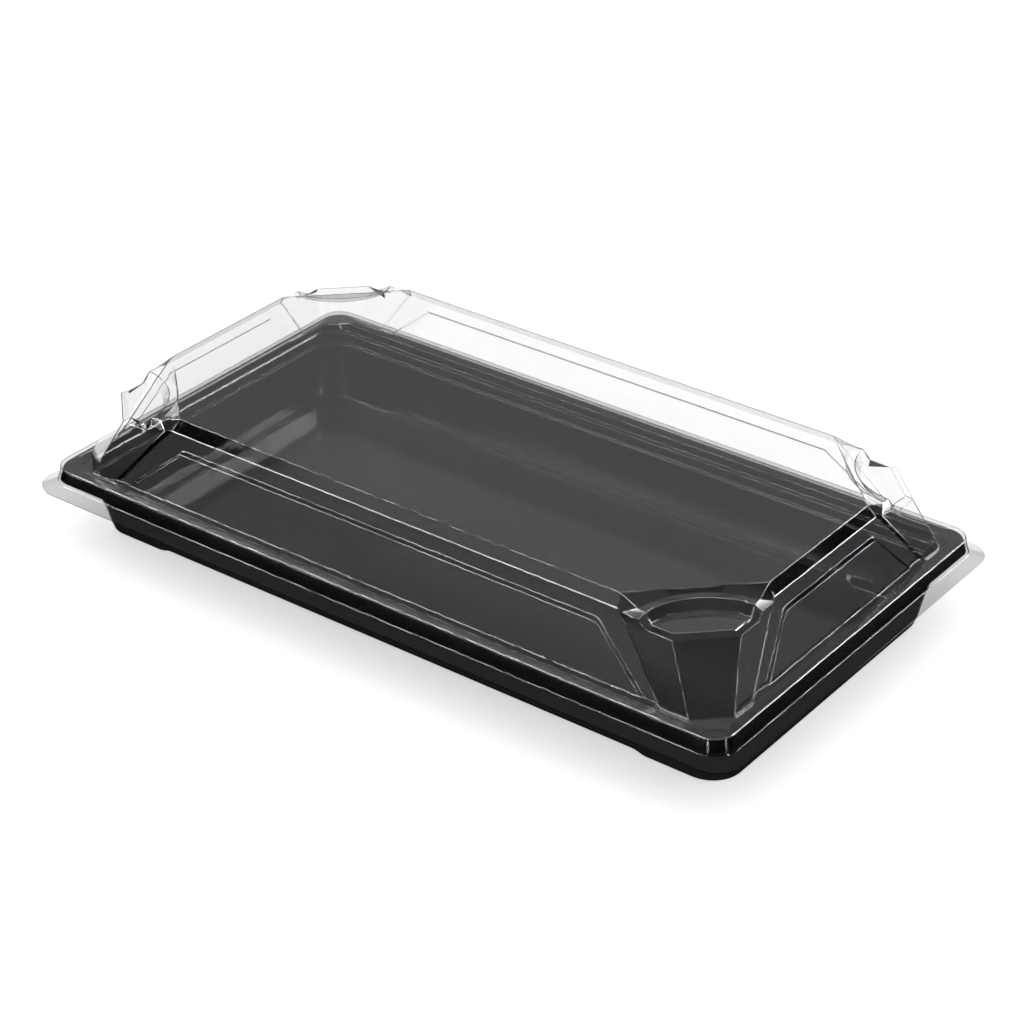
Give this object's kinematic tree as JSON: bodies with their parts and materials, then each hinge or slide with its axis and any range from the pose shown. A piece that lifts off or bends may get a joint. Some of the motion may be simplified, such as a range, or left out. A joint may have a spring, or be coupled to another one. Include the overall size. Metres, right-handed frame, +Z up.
{
  "type": "takeaway sushi tray",
  "caption": "Shallow rectangular food tray in black plastic with a clear push-fit lid, its walls sloping to a flat roof with chamfered corners and stepped corner pillars.",
  "frame": {"origin": "on the table, under the middle of the tray", "axes": "+Z up, out through the roof of the lid; X along the long side, Y along the short side"},
  "size_m": [0.26, 0.1496, 0.0503],
  "materials": {
    "black_plastic": "glossy thermoformed polystyrene",
    "clear_plastic": "clear glossy thermoformed PET"
  },
  "bodies": {
    "root": {"tray": "black_plastic", "lid": "clear_plastic"}
  },
  "joints": []
}
